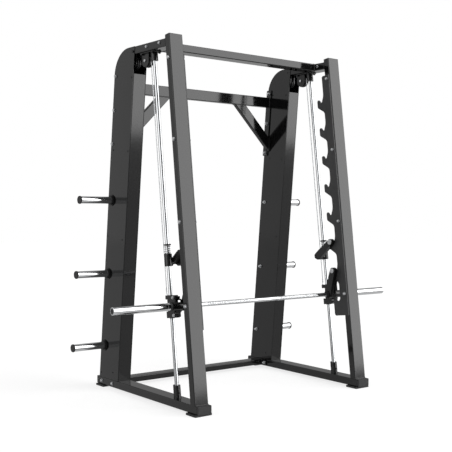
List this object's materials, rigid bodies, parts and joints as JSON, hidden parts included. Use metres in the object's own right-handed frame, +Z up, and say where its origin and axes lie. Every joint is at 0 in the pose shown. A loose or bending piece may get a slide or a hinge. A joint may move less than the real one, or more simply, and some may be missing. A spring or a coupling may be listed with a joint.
{
  "type": "smith machine",
  "caption": "Free-standing smith machine: barbell on inclined chrome guide rods with hook plates, safety stops, counterweight columns and plate storage pegs.",
  "frame": {"origin": "centre of the footprint on the floor", "axes": "+Z up, +X to the machine's right as seen from the front, +Y to the rear, towards the columns"},
  "size_m": [2.3, 1.19, 2.298],
  "materials": {
    "powder_coat": "black powder coat, satin",
    "black_fittings": "black coated steel, semi-matt",
    "chrome": "bright chrome",
    "steel": "zinc plated steel",
    "rubber": "moulded black rubber",
    "nylon": "black nylon"
  },
  "bodies": {
    "frame": {"base_rail_left": "powder_coat", "base_rail_right": "powder_coat", "front_foot_left": "rubber", "front_foot_right": "rubber", "rear_foot_left": "rubber", "rear_foot_right": "rubber", "upright_left": "powder_coat", "upright_right": "powder_coat", "top_beam_left": "powder_coat", "top_beam_right": "powder_coat", "rear_post_left": "powder_coat", "rear_post_right": "powder_coat", "column_outer_panel_left": "powder_coat", "column_outer_panel_right": "powder_coat", "column_inner_panel_left": "powder_coat", "column_inner_panel_right": "powder_coat", "column_front_cover_left": "powder_coat", "column_front_cover_right": "powder_coat", "hook_plate_left": "black_fittings", "hook_plate_right": "black_fittings", "guide_rod_left": "chrome", "guide_rod_right": "chrome", "rod_base_sleeve_left": "black_fittings", "rod_base_sleeve_right": "black_fittings", "pulley_hanger_left": "black_fittings", "pulley_hanger_right": "black_fittings", "upper_peg_left": "chrome", "upper_peg_right": "chrome", "middle_peg_left": "chrome", "middle_peg_right": "chrome", "lower_peg_left": "chrome", "lower_peg_right": "chrome", "cable_front_run_left": "steel", "cable_front_run_right": "steel", "cable_rear_run_left": "steel", "cable_rear_run_right": "steel", "base_crossbeam": "powder_coat", "top_crossbar": "powder_coat", "rear_brace_frame": "powder_coat"},
    "carriages": {"carriage_left": "black_fittings", "carriage_right": "black_fittings"},
    "bar": {"bar": "chrome", "bar_sleeve_left": "chrome", "bar_sleeve_right": "chrome", "bar_hook_left": "black_fittings", "bar_hook_right": "black_fittings"},
    "stop_left": {"stop_collar_left": "black_fittings", "stop_spring_left": "steel"},
    "stop_arm_left": {"stop_arm_left": "black_fittings"},
    "stop_washer_left": {"stop_washer_left": "black_fittings"},
    "counterweight_left": {"counterweight_left": "steel"},
    "front_pulley_left": {"front_pulley_left": "nylon"},
    "rear_pulley_left": {"rear_pulley_left": "nylon"},
    "stop_right": {"stop_collar_right": "black_fittings", "stop_spring_right": "steel"},
    "stop_arm_right": {"stop_arm_right": "black_fittings"},
    "stop_washer_right": {"stop_washer_right": "black_fittings"},
    "counterweight_right": {"counterweight_right": "steel"},
    "front_pulley_right": {"front_pulley_right": "nylon"},
    "rear_pulley_right": {"rear_pulley_right": "nylon"}
  },
  "joints": [
    {"name": "bar_slide", "type": "slide", "parent": "frame", "child": "carriages", "axis": [0, 0.1294, 0.9916], "range_m": [-0.2016, 0.8064], "deforming": ["cable_front_run_left", "cable_front_run_right"]},
    {"name": "bar_turn", "type": "hinge", "parent": "carriages", "child": "bar", "pos_m": [0, -0.32396, 0.62801], "axis": [1, 0, 0], "range_deg": [-40, 0]},
    {"name": "stop_slide_left", "type": "slide", "parent": "carriages", "child": "stop_left", "axis": [0, 0.1294, 0.9916], "range_m": [0, 0.2016]},
    {"name": "stop_arm_turn_left", "type": "hinge", "parent": "stop_left", "child": "stop_arm_left", "pos_m": [-0.678, -0.20504, 0.88549], "axis": [1, 0, 0], "range_deg": [-60, 0]},
    {"name": "stop_spring_press_left", "type": "slide", "parent": "stop_left", "child": "stop_washer_left", "axis": [0, 0.1294, 0.9916], "range_m": [-0.03, 0], "stiffness_N_per_m": 3000, "deforming": ["stop_spring_left"]},
    {"name": "stop_slide_right", "type": "slide", "parent": "carriages", "child": "stop_right", "axis": [0, 0.1294, 0.9916], "range_m": [0, 0.2016]},
    {"name": "stop_arm_turn_right", "type": "hinge", "parent": "stop_right", "child": "stop_arm_right", "pos_m": [0.678, -0.20504, 0.88549], "axis": [1, 0, 0], "range_deg": [-60, 0]},
    {"name": "stop_spring_press_right", "type": "slide", "parent": "stop_right", "child": "stop_washer_right", "axis": [0, 0.1294, 0.9916], "range_m": [-0.03, 0], "stiffness_N_per_m": 3000, "deforming": ["stop_spring_right"]},
    {"name": "counterweight_slide_left", "type": "slide", "parent": "frame", "child": "counterweight_left", "axis": [0, -0.0886, 0.9961], "range_m": [-0.8074, 0.2026], "deforming": ["cable_rear_run_left"]},
    {"name": "front_pulley_spin_left", "type": "hinge", "parent": "frame", "child": "front_pulley_left", "pos_m": [-0.678, 0.043, 2.171], "axis": [1, 0, 0], "range_deg": [-1174.7, 1174.7]},
    {"name": "rear_pulley_spin_left", "type": "hinge", "parent": "frame", "child": "rear_pulley_left", "pos_m": [-0.678, 0.186, 2.171], "axis": [1, 0, 0], "range_deg": [-1174.7, 1174.7]},
    {"name": "counterweight_slide_right", "type": "slide", "parent": "frame", "child": "counterweight_right", "axis": [0, -0.0886, 0.9961], "range_m": [-0.8074, 0.2026], "deforming": ["cable_rear_run_right"]},
    {"name": "front_pulley_spin_right", "type": "hinge", "parent": "frame", "child": "front_pulley_right", "pos_m": [0.678, 0.043, 2.171], "axis": [1, 0, 0], "range_deg": [-1174.7, 1174.7]},
    {"name": "rear_pulley_spin_right", "type": "hinge", "parent": "frame", "child": "rear_pulley_right", "pos_m": [0.678, 0.186, 2.171], "axis": [1, 0, 0], "range_deg": [-1174.7, 1174.7]}
  ],
  "couplings": [
    {"joint": "counterweight_slide_left", "follows": "bar_slide", "ratio": -1},
    {"joint": "front_pulley_spin_left", "follows": "bar_slide", "rad_per_m": -25.317},
    {"joint": "rear_pulley_spin_left", "follows": "bar_slide", "rad_per_m": -25.317},
    {"joint": "counterweight_slide_right", "follows": "bar_slide", "ratio": -1},
    {"joint": "front_pulley_spin_right", "follows": "bar_slide", "rad_per_m": -25.317},
    {"joint": "rear_pulley_spin_right", "follows": "bar_slide", "rad_per_m": -25.317}
  ]
}
